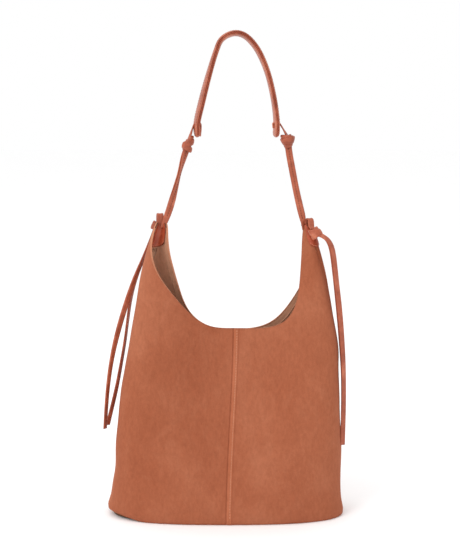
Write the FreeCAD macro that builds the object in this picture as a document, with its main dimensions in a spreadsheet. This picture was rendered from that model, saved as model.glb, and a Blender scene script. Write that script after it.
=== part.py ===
import FreeCAD, Part
import math
import os

# Hobo bag: four leather panels sewn to an oval base, a scooped mouth with a magnetic snap,
# two horns, and a shoulder strap of a padded band hung on knotted laces.
# Millimetres. X runs across the bag, the front faces -Y, Z is up, origin on the floor.

Vector = FreeCAD.Vector

DIMENSIONS = [
    ("base_half_width", 158.0, "half width of the body just above the base flare"),
    ("base_flare", 7.0, "how far the walls flare out where they meet the floor"),
    ("flare_height", 25.0, "height over which the flare dies away"),
    ("horn_half_width", 106.0, "half distance between the outsides of the horn tips"),
    ("base_half_depth", 65.0, "half depth at the base"),
    ("horn_half_depth", 12.0, "half depth of a horn tip"),
    ("lean", 10.0, "how far the upper body leans to the right"),
    ("lean_height", 270.0, "height at which the lean is complete"),
    ("horn_height", 410.0, "height of the horn tips"),
    ("front_mouth_height", 262.0, "height of the middle of the mouth's front edge"),
    ("back_mouth_height", 259.0, "height of the middle of the mouth's back edge"),
    ("closed_half_depth", 7.7, "half depth where the snap pulls the mouth closed"),
    ("pinch_start", 10.0, "height at which the pinch begins"),
    ("pinch_full", 225.0, "height at which the pinch is complete"),
    ("twist_start", 270.0, "height at which the horns begin to twist"),
    ("left_twist", -80.0, "turn of the left horn tip, degrees"),
    ("right_twist", -60.0, "turn of the right horn tip, degrees"),
    ("horn_core", 9.0, "distance of a horn's twist axis from its outside"),
    ("leather", 1.8, "thickness of the suede panels"),
    ("lining_tape", 0.7, "thickness of the seam tapes"),
    ("tape_half_width", 7.0, "half width of the seam tapes"),
    ("facing_width", 9.0, "width of the mouth facing"),
    ("facing_thickness", 1.1, "thickness of the mouth facing"),
    ("layer_gap", 0.3, "gap between stacked layers"),
    ("patch_thickness", 1.4, "thickness of the horn patches"),
    ("patch_half_width", 7.5, "half width of the horn patches"),
    ("patch_bottom", 374.0, "height of the patches' rounded lower end"),
    ("hole_radius", 3.2, "radius of the lace hole in each horn"),
    ("loop_radius", 6.5, "radius of the tie loop, to the middle of the lace"),
    ("loop_tube", 2.0, "half thickness of the tie loop's lace"),
    ("base_thickness", 2.0, "thickness of the base panel"),
    ("board_thickness", 2.2, "thickness of the base board"),
    ("board_inset", 7.0, "distance of the base board's edge from the outside"),
    ("tab_half_width", 13.0, "half width of the closure tabs"),
    ("tab_bottom", 229.0, "lower end of the closure tabs"),
    ("tab_top", 249.0, "upper end of the closure tabs"),
    ("tab_thickness", 1.4, "thickness of the closure tabs"),
    ("washer_thickness", 0.7, "thickness of the snap's washers"),
    ("washer_radius", 6.5, "radius of the snap's washers"),
    ("washer_bore", 2.0, "radius of the hole in a washer"),
    ("snap_height", 240.0, "height of the magnetic snap"),
    ("snap_radius", 7.0, "radius of the snap's two halves"),
    ("stud_thickness", 2.2, "thickness of the snap's stud half"),
    ("socket_thickness", 2.6, "thickness of the snap's socket half"),
    ("lace_width", 9.0, "width of the flat lace between the knots"),
    ("ply_thickness", 1.6, "thickness of one lace ply"),
    ("ply_gap", 0.6, "gap between the two plies"),
    ("lace_foot", 424.0, "height at which the plies start above the horns"),
    ("left_lace_foot_x", -87.3, "where the left plies start"),
    ("right_lace_foot_x", 106.3, "where the right plies start"),
    ("left_knot_x", -52.2, "centre of the left upper knot"),
    ("left_knot_z", 512.6, "centre of the left upper knot"),
    ("left_knot_radius", 9.0, "radius of the left upper knot across the strap's axis"),
    ("left_knot_half_width", 7.0, "half width of the left upper knot"),
    ("right_knot_x", 83.4, "centre of the right upper knot"),
    ("right_knot_z", 517.3, "centre of the right upper knot"),
    ("right_knot_radius", 9.5, "radius of the right upper knot across the strap's axis"),
    ("right_knot_half_width", 9.0, "half width of the right upper knot"),
    ("knot_gap", 0.6, "gap between a knot and the lace beside it"),
    ("tie_knot_radius", 6.5, "radius of the tie knots at the horns"),
    ("tie_knot_half_depth", 5.5, "half depth of the tie knots"),
    ("left_tie_knot_z", 396.0, "height of the left tie knot"),
    ("right_tie_knot_z", 393.0, "height of the right tie knot"),
    ("band_width", 26.0, "width of the shoulder band"),
    ("band_leather", 1.6, "thickness of the band's outer leather and lining"),
    ("band_filler", 1.6, "thickness of the band's filler"),
    ("band_end_radius", 10.0, "corner radius of the band's ends"),
    ("slot_width", 11.0, "width of the lace slot in the band"),
    ("slot_height", 4.0, "height of the lace slot in the band"),
    ("slot_z", 542.0, "height of the lace slots"),
    ("band_loop_thickness", 1.6, "thickness of the lace through the band"),
    ("tail_width", 8.0, "width of the free lace tails"),
    ("tail_thickness", 2.5, "thickness of the free lace tails"),
]

TAPER_POWER = 2.2
DEPTH_POWER = 1.3
BASE_SQUARENESS = 2.6
HORN_SQUARENESS = 3.4
HORN_SHARE = {"left": 0.843, "right": 0.93}
TIP_SHARPNESS = 6.0
FRONT = -90.0
BACK = 90.0
SEAM_GAP = 0.2
GRID_ACROSS = 25
GRID_UP = 21

# Each panel: the angles of its side seam and centre seam, and how steeply its mouth edge
# turns up from the scoop into the horn. A horn share is how far out, as a part of the half
# width, the free edges of that horn's two panels end.
PANELS = {
    "front_right": (0.0, FRONT, 4.2),
    "front_left": (-180.0, FRONT, 2.9),
    "back_right": (0.0, BACK, 3.15),
    "back_left": (180.0, BACK, 3.05),
}
SIDES = {"left": 180.0, "right": 0.0}

# Centre line of the shoulder band in the XZ plane, from its left end over the top.
BAND_LINE = [
    (-37.0, 522.5), (-38.6, 541.0), (-33.0, 570.0), (-24.0, 604.0), (-14.0, 636.0), (-6.0, 653.0),
    (9.8, 661.0), (26.0, 657.0), (42.0, 639.0), (55.0, 610.0), (63.5, 576.0), (67.6, 545.0), (67.0, 522.5),
]

# Free tails: (x, z) from the tie knot to the cut end, and the distance of the tail's
# middle from the knot's middle along Y.
TAILS = {
    "left_outer_tail": ("left", -4.7, [
        (-101.3, 389.2), (-109.5, 367.0), (-125.0, 332.0), (-139.0, 292.0), (-150.5, 254.0),
        (-159.5, 215.0), (-165.0, 177.0), (-168.0, 142.0), (-169.5, 118.0)]),
    "left_inner_tail": ("left", 4.7, [
        (-101.0, 389.0), (-109.0, 368.0), (-123.0, 334.0), (-132.5, 302.0), (-137.0, 270.0),
        (-141.0, 240.0), (-147.0, 207.0), (-153.0, 176.0), (-160.0, 147.0), (-166.5, 121.0)]),
    "right_outer_tail": ("right", -4.7, [
        (129.4, 390.4), (136.7, 386.4), (142.7, 378.0), (145.8, 367.0), (148.0, 350.0), (151.0, 322.0),
        (155.6, 284.0), (159.0, 246.0), (161.5, 208.0), (162.0, 168.0), (161.5, 130.0), (160.7, 99.0)]),
    "right_inner_tail": ("right", 4.7, [
        (129.2, 390.0), (135.4, 385.6), (140.1, 377.4), (143.0, 366.0), (145.3, 350.0), (148.9, 322.0),
        (152.6, 290.0), (156.0, 258.0), (159.0, 222.0), (161.0, 184.0), (161.3, 142.0), (161.2, 101.0)]),
}

doc = FreeCAD.newDocument("hobo_bag")
sheet = doc.addObject("Spreadsheet::Sheet", "Dimensions")
for row, (alias, value, meaning) in enumerate(DIMENSIONS, start=1):
    sheet.set("A%d" % row, meaning)
    sheet.set("B%d" % row, str(value))
    sheet.setAlias("B%d" % row, alias)
doc.recompute()

SIZE = {alias: float(sheet.get(alias)) for alias, _value, _meaning in DIMENSIONS}
subparts = []


def smooth(value):
    """Rise from 0 to 1 with level ends."""
    value = min(max(value, 0.0), 1.0)
    return value * value * (3.0 - 2.0 * value)


def keep(part, label):
    part.Label = label
    subparts.append(part)
    return part


def keep_shape(label, shape):
    """A sub-part made with Part's own functions, for the curved leather."""
    part = doc.addObject("Part::Feature", label)
    part.Shape = shape
    part.Placement = FreeCAD.Placement()
    return keep(part, label)


def primitive(kind, label, sizes, placement):
    """A Part primitive whose sizes are expressions on the sheet."""
    part = doc.addObject(kind, label)
    for name, expression in sizes.items():
        part.setExpression(name, expression)
    part.Placement = placement
    return part


# ---------------------------------------------------------------- body surface

def half_width(z):
    taper = SIZE["base_half_width"] - SIZE["horn_half_width"]
    flare = SIZE["base_flare"] * math.exp(-z / SIZE["flare_height"])
    return SIZE["base_half_width"] - taper * (z / SIZE["horn_height"]) ** TAPER_POWER + flare


def half_depth(z):
    taper = SIZE["base_half_depth"] - SIZE["horn_half_depth"]
    return SIZE["base_half_depth"] - taper * (z / SIZE["horn_height"]) ** DEPTH_POWER


def squareness(z):
    return BASE_SQUARENESS + (HORN_SQUARENESS - BASE_SQUARENESS) * z / SIZE["horn_height"]


def lean(z):
    return SIZE["lean"] * smooth(z / SIZE["lean_height"])


def twist(side, z):
    share = (z - SIZE["twist_start"]) / (SIZE["horn_height"] - SIZE["twist_start"])
    return math.radians(SIZE[side + "_twist"]) * smooth(share)


def section(angle, z):
    """Unit superellipse point of the body at a height: shares of half width and half depth."""
    power = squareness(z)
    cosine = math.cos(math.radians(angle))
    sine = math.sin(math.radians(angle))
    radius = (abs(cosine) ** power + abs(sine) ** power) ** (1.0 / power)
    return cosine / radius, sine / radius


def skin_point(angle, z):
    """Outer surface of the leather at an angle round the body and a height."""
    across, deep = section(angle, z)
    pinch_range = SIZE["pinch_full"] - SIZE["pinch_start"]
    pinch = smooth((z - SIZE["pinch_start"]) / pinch_range) * (1.0 - across ** 2) ** 2
    x = half_width(z) * across
    y = deep * (half_depth(z) * (1.0 - pinch) + SIZE["closed_half_depth"] * pinch)
    side, sign = ("right", 1.0) if across > 0.0 else ("left", -1.0)
    turn = twist(side, z)
    core = sign * (half_width(z) - SIZE["horn_core"])
    arm = x - core
    turned_x = core + arm * math.cos(turn) - y * math.sin(turn)
    turned_y = arm * math.sin(turn) + y * math.cos(turn)
    seam_y = sign * SIZE["horn_core"] * math.sin(turn)
    return Vector(lean(z) + turned_x, turned_y - seam_y, z)


def skin_normal(angle, z):
    step_angle = 0.05
    step_z = 0.05
    around = skin_point(angle + step_angle, z) - skin_point(angle - step_angle, z)
    up = skin_point(angle, z + step_z) - skin_point(angle, max(z - step_z, 0.0))
    return around.cross(up).normalize()


def layer_point(angle, z, inset):
    """A point at a depth below the outer surface, kept at its own height."""
    normal = skin_normal(angle, z)
    level = Vector(normal.x, normal.y, 0.0).normalize()
    point = skin_point(angle, z) - level * inset
    return Vector(point.x, point.y, z)


def face_of(panel):
    return panel.split("_")[0]


def side_of(panel):
    return panel.split("_")[1]


def mouth_edge(panel, angle):
    """Height of a panel's free edge at an angle."""
    _side_angle, _centre_angle, power = PANELS[panel]
    across, _deep = section(angle, SIZE["horn_height"])
    rise = (abs(across) / HORN_SHARE[side_of(panel)]) ** power
    share = rise / (1.0 + rise ** TIP_SHARPNESS) ** (1.0 / TIP_SHARPNESS)
    lowest = SIZE[face_of(panel) + "_mouth_height"]
    return lowest + (SIZE["horn_height"] - lowest) * share


def angle_at_depth(distance, z):
    """Angle away from a side seam at which the body is this far from its middle plane."""
    power = squareness(z)
    share = (half_depth(z) / distance) ** power - 1.0
    return math.degrees(math.atan((1.0 / share) ** (1.0 / power)))


def angle_at_width(distance, z):
    """Angle away from a centre seam at which the body is this far from the seam."""
    return math.degrees(math.asin(distance / half_width(z)))


def layer_solid(place, outer_inset, inner_inset, across=GRID_ACROSS, up=GRID_UP):
    """Closed solid of a sheet of leather; place(u, v) gives the angle and the height."""
    grids = []
    for inset in (outer_inset, inner_inset):
        grid = []
        for i in range(across):
            row = [place(i / (across - 1.0), j / (up - 1.0)) for j in range(up)]
            grid.append([layer_point(angle, z, inset) for angle, z in row])
        grids.append(grid)
    surfaces = []
    for grid in grids:
        surface = Part.BSplineSurface()
        surface.interpolate(grid)
        surfaces.append(surface)
    outer_edges, inner_edges = [boundary_edges(surface) for surface in surfaces]
    faces = [surface.toShape() for surface in surfaces]
    faces += [Part.makeRuledSurface(a, b, 1) for a, b in zip(outer_edges, inner_edges)]
    shell = Part.makeShell(faces)
    shell.sewShape()
    solid = Part.makeSolid(Part.Shell(shell.Faces))
    if solid.Volume < 0.0:
        solid.reverse()
    return solid


def boundary_edges(surface):
    u_low, u_high, v_low, v_high = surface.bounds()
    curves = [surface.uIso(u_low), surface.uIso(u_high), surface.vIso(v_low), surface.vIso(v_high)]
    return [curve.toShape() for curve in curves]


def seam_point(side, z, inset=0.0):
    return layer_point(SIDES[side], z, inset)


def seam_outward(side, z):
    normal = skin_normal(SIDES[side], z)
    return Vector(normal.x, normal.y, 0.0).normalize()


def lace_hole(side):
    """Cylinder that pierces a horn at its side seam."""
    height = SIZE["horn_height"] - SIZE["loop_radius"]
    outward = seam_outward(side, height)
    reach = 10.0
    start = seam_point(side, height) - outward * reach
    return Part.makeCylinder(SIZE["hole_radius"], 2.0 * reach, start, outward)


# ---------------------------------------------------------------- leather body

def make_panels():
    for panel, (side_angle, centre_angle, _power) in PANELS.items():
        sign = 1.0 if centre_angle > side_angle else -1.0
        first = side_angle + sign * SEAM_GAP
        last = centre_angle - sign * SEAM_GAP / 2.0

        def place(u, v):
            angle = first + (last - first) * u
            return angle, v * mouth_edge(panel, angle)

        shape = layer_solid(place, 0.0, SIZE["leather"])
        keep_shape(panel + "_panel", shape.cut(lace_hole(side_of(panel))))


def facing_drop(panel, angle):
    """Drop from a panel's free edge to the lower side of its facing, longer where it is steep."""
    step = 0.1
    steepest = 3.0
    ahead = skin_point(angle + step, mouth_edge(panel, angle + step))
    behind = skin_point(angle - step, mouth_edge(panel, angle - step))
    rise = ahead - behind
    slope = rise.z / math.hypot(rise.x, rise.y)
    return SIZE["facing_width"] * min(math.hypot(1.0, slope), steepest)


def make_facings():
    """Narrow facing inside the free edge of each panel, from the centre seam to the horn."""
    near_horn = 58.0
    near_centre = 88.8
    rows = 4
    outer = SIZE["leather"] + 3.0 * SIZE["layer_gap"]
    for panel, (side_angle, centre_angle, _power) in PANELS.items():
        sign = 1.0 if centre_angle > side_angle else -1.0

        def place(u, v):
            angle = side_angle + sign * (near_horn + (near_centre - near_horn) * u)
            edge = mouth_edge(panel, angle) - SIZE["layer_gap"]
            return angle, edge - facing_drop(panel, angle) * (1.0 - v)

        shape = layer_solid(place, outer, outer + SIZE["facing_thickness"], GRID_ACROSS, rows)
        keep_shape(panel + "_facing", shape)


def make_seam_tapes():
    """Tapes that cover the seams inside; they stop below the closure and the patches."""
    outer = SIZE["leather"] + SIZE["layer_gap"]
    inner = outer + SIZE["lining_tape"]
    clearance = 2.0
    columns = 7
    bottom = SIZE["base_thickness"] + SIZE["board_thickness"] + clearance
    half = SIZE["tape_half_width"]
    centre_top = SIZE["tab_bottom"] - clearance
    side_top = SIZE["patch_bottom"] - clearance
    tapes = {
        "front_seam_tape": (FRONT, centre_top, angle_at_width),
        "back_seam_tape": (BACK, centre_top, angle_at_width),
        "left_seam_tape": (SIDES["left"], side_top, angle_at_depth),
        "right_seam_tape": (SIDES["right"], side_top, angle_at_depth),
    }
    for label, (middle, top, spread) in tapes.items():

        def place(u, v):
            z = bottom + (top - bottom) * v
            return middle + (2.0 * u - 1.0) * spread(half, z), z

        keep_shape(label, layer_solid(place, outer, inner, columns, GRID_UP))


def make_horn_patches():
    """Smooth leather patches inside and outside each horn, with a rounded lower end."""
    tip_share = 0.35
    below_tip = 1.0
    columns, rows = 9, 13
    top = SIZE["horn_height"] - below_tip
    bottom = SIZE["patch_bottom"]
    half = SIZE["patch_half_width"]
    gap = SIZE["layer_gap"]
    inside = SIZE["leather"] + gap
    layers = {
        "outer": (-gap - SIZE["patch_thickness"], -gap),
        "inner": (inside, inside + SIZE["patch_thickness"]),
    }
    for side, middle in SIDES.items():
        for layer, (outer, inner) in layers.items():

            def place(u, v):
                z = bottom + (top - bottom) * v
                below = max(0.0, 1.0 - (z - bottom) / half)
                width = half * (tip_share + (1.0 - tip_share) * math.sqrt(1.0 - below ** 2))
                return middle + (2.0 * u - 1.0) * angle_at_depth(width, z), z

            shape = layer_solid(place, outer, inner, columns, rows)
            keep_shape("%s_horn_patch_%s" % (side, layer), shape.cut(lace_hole(side)))


def base_outline(inset, z):
    """Oval inside the foot of the walls, as a face at a height."""
    count = 48
    foot = 1.0
    points = [layer_point(360.0 * i / count, foot, inset) for i in range(count)]
    curve = Part.BSplineCurve()
    curve.interpolate([Vector(p.x, p.y, z) for p in points], PeriodicFlag=True)
    return Part.Face(Part.Wire(curve.toShape()))


def make_base():
    gap = SIZE["layer_gap"]
    seam_room = 4.0 * gap
    panel = base_outline(SIZE["leather"] + seam_room, 0.0)
    keep_shape("base_panel", panel.extrude(Vector(0.0, 0.0, SIZE["base_thickness"])))
    board = base_outline(SIZE["board_inset"], SIZE["base_thickness"] + gap)
    keep_shape("base_board", board.extrude(Vector(0.0, 0.0, SIZE["board_thickness"])))


# ---------------------------------------------------------------- magnetic snap

def make_closure():
    """Leather tabs on the front and back, each carrying one half of a magnetic snap."""
    columns, rows = 7, 5
    gap = SIZE["layer_gap"]
    washer_inset = SIZE["leather"] + gap
    tab_inset = washer_inset + SIZE["washer_thickness"] + gap
    tab_back = tab_inset + SIZE["tab_thickness"]
    height = SIZE["snap_height"]
    halves = {
        "front": (FRONT, "snap_stud", "stud_thickness", 1.0),
        "back": (BACK, "snap_socket", "socket_thickness", -1.0),
    }
    for face, (middle, snap, thickness, inward) in halves.items():

        def place(u, v):
            z = SIZE["tab_bottom"] + (SIZE["tab_top"] - SIZE["tab_bottom"]) * v
            return middle + (2.0 * u - 1.0) * angle_at_width(SIZE["tab_half_width"], z), z

        keep_shape(face + "_closure_tab", layer_solid(place, tab_inset, tab_back, columns, rows))
        turn = FreeCAD.Rotation(Vector(0.0, 0.0, 1.0), Vector(0.0, inward, 0.0))
        seat = surface_clear_point(middle, height, tab_back, SIZE["snap_radius"], inward)
        sizes = {"Radius": "Dimensions.snap_radius", "Height": "Dimensions." + thickness}
        half = primitive("Part::Cylinder", snap, sizes, FreeCAD.Placement(seat, turn))
        keep(half, snap)
        make_washer(face, middle, height, washer_inset, turn)


def surface_clear_point(middle, height, inset, radius, inward):
    """Centre of a flat disc that just clears a curved layer behind it."""
    depths = []
    for z in (height - radius, height, height + radius):
        depths.append(layer_point(middle, z, inset).y * inward)
    clear = max(depths) + SIZE["layer_gap"]
    return Vector(layer_point(middle, height, inset).x, clear * inward, height)


def make_washer(face, middle, height, inset, turn):
    label = face + "_snap_washer"
    seat = layer_point(middle, height, inset)
    placement = FreeCAD.Placement(seat, turn)
    disc_sizes = {"Height": "Dimensions.washer_thickness", "Radius": "Dimensions.washer_radius"}
    bore_sizes = {"Height": "Dimensions.washer_thickness", "Radius": "Dimensions.washer_bore"}
    disc = primitive("Part::Cylinder", label + "_disc", disc_sizes, placement)
    bore = primitive("Part::Cylinder", label + "_bore", bore_sizes, placement)
    washer = doc.addObject("Part::Cut", label)
    washer.Base = disc
    washer.Tool = bore
    keep(washer, label)


# ---------------------------------------------------------------- laces and knots

def make_tie_loops():
    """The lace over each horn's tip and through its hole, as a ring round the leather."""
    for side in SIDES:
        hole_height = SIZE["horn_height"] - SIZE["loop_radius"]
        outward = seam_outward(side, hole_height)
        axis = outward.cross(Vector(0.0, 0.0, 1.0))
        hole = seam_point(side, hole_height, SIZE["leather"] / 2.0)
        centre = hole + Vector(0.0, 0.0, SIZE["loop_radius"])
        turn = FreeCAD.Rotation(Vector(0.0, 0.0, 1.0), axis)
        sizes = {"Radius1": "Dimensions.loop_radius", "Radius2": "Dimensions.loop_tube"}
        label = side + "_tie_loop"
        keep(primitive("Part::Torus", label, sizes, FreeCAD.Placement(centre, turn)), label)


def tie_knot_centre(side):
    height = SIZE[side + "_tie_knot_z"]
    stand_off = SIZE["patch_thickness"] + SIZE["tie_knot_radius"] + 4.0 * SIZE["layer_gap"]
    return seam_point(side, height) + seam_outward(side, height) * stand_off


def ellipsoid(label, sizes, centre):
    """A knot as a plain rounded lump: Radius1 is along Z, Radius2 along X, Radius3 along Y."""
    placement = FreeCAD.Placement(centre, FreeCAD.Rotation())
    return keep(primitive("Part::Ellipsoid", label, sizes, placement), label)


def make_knots():
    for side in SIDES:
        tie = {
            "Radius1": "Dimensions.tie_knot_radius",
            "Radius2": "Dimensions.tie_knot_radius",
            "Radius3": "Dimensions.tie_knot_half_depth",
        }
        ellipsoid(side + "_tie_knot", tie, tie_knot_centre(side))
        upper = {
            "Radius1": "Dimensions.%s_knot_radius" % side,
            "Radius2": "Dimensions.%s_knot_half_width" % side,
            "Radius3": "Dimensions.%s_knot_radius" % side,
        }
        centre = Vector(SIZE[side + "_knot_x"], 0.0, SIZE[side + "_knot_z"])
        ellipsoid(side + "_upper_knot", upper, centre)


def make_laces():
    """Two flat plies on each side, straight from the horn to the upper knot."""
    for side in SIDES:
        foot = Vector(SIZE[side + "_lace_foot_x"], 0.0, SIZE["lace_foot"])
        knot = Vector(SIZE[side + "_knot_x"], 0.0, SIZE[side + "_knot_z"])
        run = knot - foot
        cell = "left_run" if side == "left" else "right_run"
        reach = run.Length - SIZE[side + "_knot_radius"] - SIZE["knot_gap"]
        add_dimension(cell, reach, "length of the %s plies" % side)
        turn = FreeCAD.Rotation(Vector(0.0, 0.0, 1.0), run)
        inner_face = SIZE["ply_gap"] / 2.0
        starts = {"front": -inner_face - SIZE["ply_thickness"], "rear": inner_face}
        for ply, start_y in starts.items():
            sizes = {
                "Length": "Dimensions.lace_width",
                "Width": "Dimensions.ply_thickness",
                "Height": "Dimensions." + cell,
            }
            corner = foot + turn.multVec(Vector(-SIZE["lace_width"] / 2.0, start_y, 0.0))
            label = "%s_lace_%s" % (side, ply)
            keep(primitive("Part::Box", label, sizes, FreeCAD.Placement(corner, turn)), label)


def add_dimension(alias, value, meaning):
    """A length that follows from the driving dimensions, kept on the sheet for the boxes."""
    row = len(SIZE) + 1
    sheet.set("A%d" % row, meaning)
    sheet.set("B%d" % row, str(value))
    sheet.setAlias("B%d" % row, alias)
    SIZE[alias] = value
    doc.recompute()


# ---------------------------------------------------------------- shoulder band

def band_layer(low, high):
    """One layer of the band between two distances from its centre line."""
    line = Part.BSplineCurve()
    line.interpolate([Vector(x, 0.0, z) for x, z in BAND_LINE])
    first, last = line.FirstParameter, line.LastParameter
    count = 40
    sides = []
    for distance in (low, high):
        points = []
        for i in range(count + 1):
            at = first + (last - first) * i / count
            tangent = Vector(*line.tangent(at)[0])
            outward = tangent.cross(Vector(0.0, -1.0, 0.0))
            side_edge = Vector(0.0, -SIZE["band_width"] / 2.0, 0.0)
            points.append(line.value(at) + outward * distance + side_edge)
        curve = Part.BSplineCurve()
        curve.interpolate(points)
        sides.append((curve.toShape(), points[0], points[-1]))
    (inner, inner_start, inner_end), (outer, outer_start, outer_end) = sides
    ends = [Part.makeLine(inner_start, outer_start), Part.makeLine(inner_end, outer_end)]
    wire = Part.Wire(Part.__sortEdges__([inner, outer] + ends))
    slab = Part.Face(wire).extrude(Vector(0.0, SIZE["band_width"], 0.0))
    longest_corner = high - low + 0.05
    corners = [edge for edge in slab.Edges if edge.Length < longest_corner]
    return slab.makeFillet(SIZE["band_end_radius"], corners)


def slot_tool(side_x):
    """Box that cuts a lace slot through all layers at one end of the band."""
    reach = 12.0
    width = SIZE["slot_width"]
    height = SIZE["slot_height"]
    corner = Vector(side_x - reach, -width / 2.0, SIZE["slot_z"] - height / 2.0)
    return Part.makeBox(2.0 * reach, width, height, corner)


def make_band():
    gap = SIZE["layer_gap"]
    half_filler = SIZE["band_filler"] / 2.0
    skin = half_filler + gap + SIZE["band_leather"]
    layers = {
        "band_outer_leather": (half_filler + gap, skin),
        "band_filler": (-half_filler, half_filler),
        "band_lining": (-skin, -half_filler - gap),
    }
    for label, (low, high) in layers.items():
        shape = band_layer(low, high)
        for end_x in (BAND_LINE[0][0], BAND_LINE[-1][0]):
            shape = shape.cut(slot_tool(end_x))
        keep_shape(label, shape)


def strip_solid(points, thickness, width):
    """Flat strip of even thickness along a bent line in the XZ plane, centred on Y = 0."""
    sides = ([], [])
    for i, point in enumerate(points):
        before = points[max(i - 1, 0)]
        after = points[min(i + 1, len(points) - 1)]
        into = (point - before) if i > 0 else (after - point)
        out = (after - point) if i < len(points) - 1 else into
        into.normalize()
        out.normalize()
        bisector = (into + out).normalize()
        across = bisector.cross(Vector(0.0, 1.0, 0.0))
        reach = thickness / 2.0 / bisector.dot(into)
        sides[0].append(point + across * reach)
        sides[1].append(point - across * reach)
    outline = sides[0] + sides[1][::-1]
    near_side = [corner - Vector(0.0, width / 2.0, 0.0) for corner in outline + outline[:1]]
    return Part.Face(Part.makePolygon(near_side)).extrude(Vector(0.0, width, 0.0))


def make_band_loops():
    """The lace from each upper knot through the band's slot and down the band's inner face."""
    slot = SIZE["slot_z"]
    lines = {
        "left_band_loop": [(-48.6, 524.0), (-43.6, slot), (-33.9, slot), (-32.2, 524.0)],
        "right_band_loop": [(79.0, 529.4), (72.6, slot), (62.6, slot), (61.6, 524.0)],
    }
    for label, line in lines.items():
        points = [Vector(x, 0.0, z) for x, z in line]
        keep_shape(label, strip_solid(points, SIZE["band_loop_thickness"], SIZE["lace_width"]))


# ---------------------------------------------------------------- free tails

def rounded_wire(points, label):
    """Straight runs joined by arcs as large as the runs allow."""
    share = 0.45
    edges = []
    start = points[0]
    smallest = None
    for before, corner, after in zip(points, points[1:], points[2:]):
        into = corner - before
        out = after - corner
        half_turn = into.getAngle(out) / 2.0
        reach = share * min(into.Length, out.Length)
        into.normalize()
        out.normalize()
        radius = reach / math.tan(half_turn)
        smallest = radius if smallest is None else min(smallest, radius)
        arc_start = corner - into * reach
        arc_end = corner + out * reach
        inside = (out - into).normalize()
        middle = corner + inside * (radius / math.cos(half_turn) - radius)
        edges.append(Part.LineSegment(start, arc_start).toShape())
        edges.append(Part.Arc(arc_start, middle, arc_end).toShape())
        start = arc_end
    edges.append(Part.LineSegment(start, points[-1]).toShape())
    wire = Part.Wire(edges)
    print("%s: length %.1f mm, smallest radius %.1f mm" % (label, wire.Length, smallest))
    return wire


def make_tails():
    half_width_y = SIZE["tail_width"] / 2.0
    half_thickness = SIZE["tail_thickness"] / 2.0
    for label, (side, offset, line) in TAILS.items():
        y = tie_knot_centre(side).y + offset
        points = [Vector(x, y, z) for x, z in line]
        wire = rounded_wire(points, label)
        forward = (points[1] - points[0]).normalize()
        across = forward.cross(Vector(0.0, 1.0, 0.0))
        corners = [(-1.0, -1.0), (-1.0, 1.0), (1.0, 1.0), (1.0, -1.0), (-1.0, -1.0)]
        outline = []
        for side_sign, thick_sign in corners:
            shift = Vector(0.0, half_width_y * side_sign, 0.0) + across * (half_thickness * thick_sign)
            outline.append(points[0] + shift)
        pipe = Part.BRepOffsetAPI.MakePipeShell(wire)
        pipe.setBiNormalMode(Vector(0.0, 1.0, 0.0))
        pipe.add(Part.makePolygon(outline), False, False)
        pipe.build()
        pipe.makeSolid()
        solid = pipe.shape()
        expected = SIZE["tail_width"] * SIZE["tail_thickness"] * wire.Length
        print("%s: volume %.0f mm3, section times length %.0f mm3" % (label, solid.Volume, expected))
        keep_shape(label, solid)


def check_and_export():
    doc.recompute()
    for item in doc.Objects:
        if "Invalid" in item.State or "Error" in item.State:
            raise RuntimeError("object failed: %s %s" % (item.Label, item.State))
    for part in subparts:
        if part.Shape.isNull() or not part.Shape.isValid() or part.Shape.Volume <= 0.0:
            raise RuntimeError("bad shape: %s" % part.Label)
    os.makedirs("parts", exist_ok=True)
    for part in subparts:
        part.Shape.exportStep("parts/%s.step" % part.Label)
    print("%d sub-parts written" % len(subparts))


make_panels()
make_facings()
make_seam_tapes()
make_horn_patches()
make_base()
make_closure()
make_tie_loops()
make_knots()
make_laces()
make_band()
make_band_loops()
make_tails()
check_and_export()
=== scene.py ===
import math

import bpy
import numpy as np
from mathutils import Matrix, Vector, noise


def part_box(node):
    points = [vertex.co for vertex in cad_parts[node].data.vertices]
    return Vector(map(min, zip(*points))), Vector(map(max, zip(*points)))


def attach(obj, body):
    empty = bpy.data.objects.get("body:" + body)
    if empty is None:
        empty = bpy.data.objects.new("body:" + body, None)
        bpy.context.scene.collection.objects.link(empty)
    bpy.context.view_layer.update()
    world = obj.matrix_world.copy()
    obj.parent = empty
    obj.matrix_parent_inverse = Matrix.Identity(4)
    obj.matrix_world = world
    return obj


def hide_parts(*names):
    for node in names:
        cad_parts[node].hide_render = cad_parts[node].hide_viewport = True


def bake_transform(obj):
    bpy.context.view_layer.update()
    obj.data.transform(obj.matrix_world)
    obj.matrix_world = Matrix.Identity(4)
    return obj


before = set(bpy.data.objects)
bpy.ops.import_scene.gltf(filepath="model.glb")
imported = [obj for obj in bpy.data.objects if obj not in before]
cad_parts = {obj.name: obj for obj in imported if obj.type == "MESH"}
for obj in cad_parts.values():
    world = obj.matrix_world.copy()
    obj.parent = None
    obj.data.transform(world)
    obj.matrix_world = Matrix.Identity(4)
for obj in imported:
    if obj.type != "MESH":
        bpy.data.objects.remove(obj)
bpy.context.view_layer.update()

MM = 0.001


# ------------------------ camera

LENS_LENGTH = 86.4
CAMERA_PLACE = (0.005, -1.8, 0.58)
CAMERA_LOOK_DOWN = 7.8       # degrees


def add_object(name, data):
    made = bpy.data.objects.new(name, data)
    bpy.context.scene.collection.objects.link(made)
    return made


def make_camera():
    data = bpy.data.cameras.new("camera")
    data.lens = LENS_LENGTH
    data.sensor_width = 36.0
    camera = add_object("camera", data)
    camera.location = CAMERA_PLACE
    camera.rotation_euler = (math.radians(90.0 - CAMERA_LOOK_DOWN), 0.0, 0.0)
    bpy.context.scene.camera = camera


# ------------------------ dimensions, in millimetres

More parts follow.
